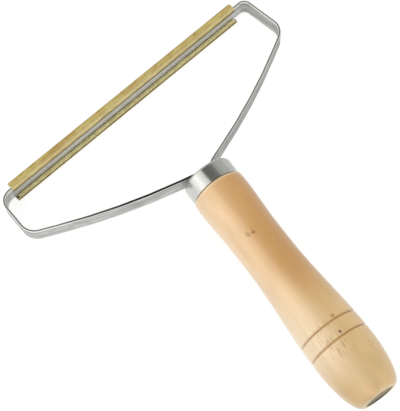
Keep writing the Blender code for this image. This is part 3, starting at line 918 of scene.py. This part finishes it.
@dataclass
class BrassHead:
    """The brass on the front bar: on each edge a folded sheet that clasps a roll of wound wire.

    The lower side is the upper one turned half way round the bar. Sections are given as (out, up)
    from the strip's middle, with out away from the strip's face on the roll's side.
    """

    strip: FrameStrip
    sheet_thickness: float = 0.35
    lip: float = 1.6
    fold_radius: float = 0.55
    wrap: float = math.radians(80.0)
    roll_radius: float = 0.758         # of the solids' roll, which places it
    wound_radius: float = 0.98         # fills most of the solids' clearance, as the real roll does
    wire_radius: float = 0.27
    turns: int = 210
    wire_end: float = 0.9
    points_per_turn: int = 14
    wire_sides: int = 7
    rings_along: int = 80
    pattern_gap: float = 40.0          # keeps the two sides' mottling apart

    @property
    def roll_out(self) -> float:
        """Return how far out the roll's middle is."""
        return self.strip.thickness / 2 + GAP + self.roll_radius

    @property
    def roll_up(self) -> float:
        """Return how far up the roll's middle is."""
        return self.strip.width / 2 - self.roll_radius

    def add_to_bar(self, side: Side, name: str, node: str, sharp: float,
                   finish: Material, rings: np.ndarray, wear: np.ndarray) -> None:
        """Skin rings of (along, out, up) points on one side of the bar and add them as a piece.

        Args:
            side: the side of the bar.
            name: the piece's name after the side's.
            node: the solid's name after the side's.
            sharp: the angle in degrees past which an edge stays sharp.
            finish: the material.
            rings: the points, as on the upper side.
            wear: each point's value of wear and painted light and shade.
        """
        placed = rings * np.array([1.0, side.value, side.value])
        placed += np.array([self.strip.head_x, self.strip.front_bar_y, 0.0])
        places = rings.reshape(-1, 3) + np.array([0.0, 0.0, self.pattern_gap * side.value])
        name = f"{side.label}_{name}"
        mesh = ring_solid(name, placed, self.strip.placement)
        add_piece(name, mesh, finish, f"{side.label}_{node}", sharp, places, wear)

    def sheet_section(self) -> tuple[np.ndarray, np.ndarray]:
        """Return the folded sheet's closed outline and a value for each point that changes its
        colour.

        The middle line runs up the strip's face, over its edge and round the roll, and the outline
        lies half a thickness to each side of it, with a round at each cut edge. The value is higher
        near a cut edge and as painted shade down the lip and round the roll's outer side, and below
        0 as a painted highlight along the fold.
        """
        edge = self.strip.width / 2
        offset = GAP + self.sheet_thickness / 2
        lip_out = -(self.strip.thickness / 2 + offset)
        web_up = edge + offset
        reach = web_up - self.roll_up
        fold = rounded_path([(lip_out, edge - self.lip, 0.0), (lip_out, web_up, self.fold_radius),
                             (self.roll_out, web_up, 0.0)], math.radians(8.0))
        roll = arc((self.roll_out, self.roll_up), reach, 0.0, self.wrap, 19)
        line = np.concatenate([fold, roll[1:]])
        along = path_lengths(line)
        half = self.sheet_thickness / 2
        inset = np.minimum(np.minimum(along, along[-1] - along), half) / half
        thick = half * np.sqrt(np.maximum(1 - (1 - inset) ** 2, 0.09))
        side = side_normals(line) * thick[:, None]
        outline = np.concatenate([line + side, (line - side)[::-1]])
        out, up = line.T
        # cut: darker near each cut edge; turned and lip_shade: painted shade round the roll's outer
        # side and down the lip
        cut = 0.4 * (1 - np.minimum(along, along[-1] - along) / 0.25)
        turned = 0.75 * np.clip(1 - np.abs((out - self.roll_out) / reach - 0.55) / 0.35, 0.0, 1.0)
        lip_shade = np.where(out < 0, (edge - 0.3 - up) / 0.6, 0.0)
        # bright: a painted highlight along the fold
        bright = 1 - np.abs(out - lip_out - 0.3) / 0.3
        bright = np.where(lip_shade > 0, 0.0, np.clip(bright, 0.0, 1.0))
        wear = np.clip(np.maximum.reduce([cut, turned, lip_shade]), 0.0, 1.0) - bright
        return outline, np.concatenate([wear, wear[::-1]])

    def build_sheet(self, side: Side, finish: Material) -> None:
        """Carry the sheet's outline along the bar and add it."""
        outline, wear = self.sheet_section()
        along = self.strip.head_length * np.linspace(-0.5, 0.5, self.rings_along)
        self.add_to_bar(side, "folded_sheet", "sheet", 50.0, finish,
                        joined(along[:, None], *outline.T), np.tile(wear, len(along)))

    def build_wire(self, side: Side, finish: Material) -> None:
        """Wind the wire round its core as one unbroken tube and add it.

        Its middle line is (pitch·t, r·cos 2πt, r·sin 2πt), and a ring round it is
        middle + wire radius·(cos a·spoke + sin a·cross), where the cross is square to the spoke
        and the line. A short straight run is added at each end.
        """
        radius = self.wound_radius - self.wire_radius
        wound = self.strip.head_length - 2 * self.wire_end
        share = np.arange(self.turns * self.points_per_turn + 1) / self.points_per_turn
        angle = 2 * np.pi * share
        spoke = joined(0.0, np.cos(angle), np.sin(angle))
        line = radius * spoke
        line[:, 0] = wound * (share / self.turns - 0.5)
        speed = 2 * np.pi * radius
        run = joined(wound / self.turns, -speed * np.sin(angle), speed * np.cos(angle))
        run[0] = run[-1] = (1.0, 0.0, 0.0)
        run = unit(np.concatenate([run[:1], run, run[-1:]]))
        spoke = np.concatenate([spoke[:1], spoke, spoke[-1:]])
        shift = np.array([self.wire_end, 0.0, 0.0])
        line = np.concatenate([line[:1] - shift, line, line[-1:] + shift])
        cross = np.cross(run, spoke)
        turn = 2 * np.pi * np.arange(self.wire_sides) / self.wire_sides
        cosine, sine = np.cos(turn)[:, None], np.sin(turn)[:, None]
        rings = line[:, None] + self.wire_radius * (cosine * spoke[:, None] + sine * cross[:, None])
        # how deep a point lies toward the core; the finish paints the gaps between the turns darker
        # as shade
        depth = 1 - (np.hypot(rings[:, :, 1], rings[:, :, 2]) - radius) / self.wire_radius
        rings += np.array([0.0, self.roll_out, self.roll_up])
        self.add_to_bar(side, "wound_wire", "winding", 70.0, finish, rings,
                        np.clip(depth.ravel(), 0.0, 1.0))

    def dress_core(self, side: Side, finish: Material) -> None:
        """Give the rod inside a roll its material; the solid itself stays."""
        node = frame["nodes"][f"{side.label}_core"]
        for slot in node.material_slots:
            slot.material = finish
        LOG.info("%s_core: dressed", side.label)


@dataclass
class Studio:
    """A white sweep under one large soft light at the left.

    An arch over the brush, seen only by reflections, gives the polished metal its bright, dark and
    grey bands. Its glow is listed against the angle from straight up, in degrees toward +X.
    """

    placement: Placement
    arch_glow: tuple[Pair, ...] = (
        (-90.0, 1.15), (-75.0, 1.4), (-60.0, 1.65), (-50.0, 1.6), (-40.0, 1.3), (-24.0, 1.1),
        (-17.0, 0.9), (-13.0, 0.25), (-5.0, 0.19), (13.0, 0.2), (33.0, 0.26), (39.0, 0.45),
        (50.0, 0.54), (62.0, 0.6), (90.0, 0.64))
    arch_reach: float = 1.4
    arch_half: float = 2.5
    soft_size: Pair = (1.8, 1.15)      # of the soft light, in metres
    soft_power: float = 4.0            # watts
    soft_spot: Triple = (-1.15, 0.15, 0.55)
    soft_tilt: float = 26.0            # degrees
    sky_strength: float = 0.85
    floor_glow: float = 0.78
    floor_size: float = 8.0
    floor_white: Pair = (0.8, 0.34)    # for soft light, and below the glow for all other rays
    shade: float = 0.3                 # how much the floor's reflection fades
    shade_reach: Pair = (-0.01, 0.04)  # and where, in metres
    camera_mm: Triple = (-122.239, -153.735, 416.14)     # in the brush's own frame
    camera_right: Triple = (0.73336, -0.67857, -0.04154)
    camera_up: Triple = (0.63439, 0.66108, 0.40066)
    lens: float = 100.755              # focal length in millimetres
    sensor: float = 36.0               # width in millimetres

    def seen_directly(self, node: Callable) -> Socket:
        """Return 1 for rays from the camera, a reflection or a transmission, else 0."""
        camera, glossy, through = (node("LightPath", output=f"Is {kind} Ray")
                                   for kind in ("Camera", "Glossy", "Transmission"))
        seen = node("Math", [camera, glossy], operation="MAXIMUM")
        return node("Math", [seen, through], operation="MAXIMUM")

    def build_world(self) -> None:
        """Make a world that looks white and lights at a plain level."""
        world = bpy.data.worlds.new("white_studio")
        bpy.context.scene.world = world
        world.use_nodes = True
        world.node_tree.nodes.clear()
        node = partial(add_node, world.node_tree)
        light = node("Background", ["#ffffff", self.sky_strength])
        white = node("Background", ["#ffffff", 1.0])
        node("OutputWorld", [node("MixShader", [self.seen_directly(node), light, white])])

    def add_stage(self, name: str, points: np.ndarray, faces: np.ndarray) -> bpy.types.Object:
        """Add a stage piece with a bare material of its own.

        Args:
            name: the piece's name.
            points: its points in metres.
            faces: its faces.

        Returns:
            The piece; its material is in its first slot, with an empty node tree.
        """
        mesh = bpy.data.meshes.new(name)
        mesh.from_pydata(points, [], faces.tolist())
        made = add_object(name, mesh)
        finish = bpy.data.materials.new(name)
        finish.use_nodes = True
        finish.node_tree.nodes.clear()
        mesh.materials.append(finish)
        return made

    def build_floor(self) -> None:
        """Lay the floor: it looks white, takes a faint shadow and bounces light as pale card does.

        In reflections its glow fades a little toward the right, where the real room was darker.
        """
        half = self.floor_size / 2
        points = half * np.array([(-1, -1, 0), (1, -1, 0), (1, 1, 0), (-1, 1, 0)])
        made = self.add_stage("floor", points, np.array([(0, 1, 2, 3)]))
        node = partial(add_node, made.data.materials[0].node_tree)
        card, dim = (node("BsdfDiffuse", [(white, white, white, 1.0)])
                     for white in self.floor_white)
        right = node("SeparateXYZ", [node("TexCoord", output="Object")], "X")
        fade = node("MapRange", [right, *self.shade_reach, 0.0, self.shade])
        fade = node("Math", [node("LightPath", output="Is Glossy Ray"), fade],
                    operation="MULTIPLY")
        glow = node("Math", [self.floor_glow, fade], operation="SUBTRACT")
        glow = node("Emission", ["#ffffff", glow])
        seen = node("AddShader", [dim, glow])
        node("OutputMaterial", [node("MixShader", [self.seen_directly(node), card, seen])])

    def build_arch(self) -> None:
        """Stand the arch: points (reach·sin a, ±half, reach·cos a), each with its angle's glow."""
        angle = np.linspace(-90.0, 90.0, 181)
        turn = np.radians(angle)[:, None]
        ends = self.arch_half * np.array([-1.0, 1.0])
        points = joined(self.arch_reach * np.sin(turn), ends, self.arch_reach * np.cos(turn))
        first = 2 * np.arange(len(angle) - 1)
        faces = first[:, None] + np.array([0, 1, 3, 2])
        arch = self.add_stage("arch", points.reshape(-1, 3), faces)
        glow = np.interp(angle, *np.array(self.arch_glow).T)
        write_values(arch.data, GLOW, np.repeat(glow, 2))
        node = partial(add_node, arch.data.materials[0].node_tree)
        glow = node("Attribute", output="Fac", attribute_name=GLOW)
        node("OutputMaterial", [node("Emission", ["#fffefa", glow])])
        for rays in ("camera", "diffuse", "transmission", "volume_scatter", "shadow"):
            setattr(arch, f"visible_{rays}", False)

    def build_light(self) -> None:
        """Stand the soft light at the left, from the floor up, leaning over the brush."""
        data = bpy.data.lights.new("soft_light", "AREA")
        data.shape = "RECTANGLE"
        data.size, data.size_y = self.soft_size
        data.energy = self.soft_power
        lamp = add_object("soft_light", data)
        lamp.matrix_world = (Matrix.Translation(self.soft_spot)
                             @ Matrix.Rotation(math.radians(-90.0), 4, "Z")
                             @ Matrix.Rotation(math.radians(90.0 - self.soft_tilt), 4, "X"))
        lamp.visible_camera = False
        lamp.visible_glossy = False

    def build_camera(self) -> None:
        """Set the camera where the photograph was taken from."""
        right = np.array(self.camera_right)
        up = np.array(self.camera_up)
        axes = self.placement.axes @ np.stack([right, up, np.cross(right, up)], axis=-1)
        spot = self.placement.to_world(np.array(self.camera_mm))
        data = bpy.data.cameras.new("camera")
        data.lens = self.lens
        data.sensor_width = self.sensor
        data.sensor_fit = "HORIZONTAL"
        data.clip_start = 0.01
        camera = add_object("camera", data)
        camera.matrix_world = Matrix.Translation(spot) @ Matrix(axes.tolist()).to_4x4()
        bpy.context.scene.camera = camera

    def build(self) -> None:
        """Build the whole studio."""
        bpy.context.scene.view_settings.view_transform = "Standard"
        self.build_world()
        self.build_floor()
        self.build_arch()
        self.build_light()
        self.build_camera()
        LOG.info("studio: world, floor, arch, light and camera")


@dataclass
class LintBrush:
    """The whole brush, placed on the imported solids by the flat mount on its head's upper sheet."""

    frame_turn: float = math.radians(7.9)      # how far the frame sits askew on the handle
    mount: str = "head_top_face"
    mount_out: float = 0.57            # from the front bar's middle to the mount, toward the roll
    placement: Placement = field(init=False)

    def __post_init__(self) -> None:
        """Read the mount, and work out the brush's frame from its point and its normal."""
        strip = FrameStrip()
        mount = next(item for item in frame["record"]["mounts"] if item["name"] == self.mount)
        upward = unit(np.array(mount["axis"], dtype=float))
        along = np.array([1.0, 0.0, 0.0])
        axes = np.stack([along, np.cross(upward, along), upward], axis=-1)
        local = np.array([strip.head_x, strip.front_bar_y + self.mount_out,
                          strip.width / 2 + GAP + BrassHead.sheet_thickness])
        spot = np.array(mount["pos_m"], dtype=float)
        self.placement = Placement(spot - (local * MM) @ axes.T, axes)

    def build(self) -> None:
        """Build every sub-assembly in order, from the handle to the head."""
        grip = self.placement.turned(-self.frame_turn)
        strip = FrameStrip(self.placement)
        ferrule = Ferrule(grip, strip)
        head = BrassHead(strip)
        Handle(grip, strip, ferrule).build(VarnishedWood().build(), SawnEndGrain().build())
        ferrule.build(PolishedSteel().build())
        strip.build(StripSteel().build())
        sheet, wire, rod = SheetBrass().build(), WireBrass().build(), RodSteel().build()
        for side in Side:
            head.build_sheet(side, sheet)
            head.build_wire(side, wire)
            head.dress_core(side, rod)


def main() -> None:
    """Build the brush and its studio."""
    logging.basicConfig(level=logging.INFO, format="%(name)s: %(message)s")
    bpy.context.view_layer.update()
    brush = LintBrush()
    brush.build()
    Studio(brush.placement).build()
    LOG.info("sizes noted")


if __name__ == "__main__":
    main()
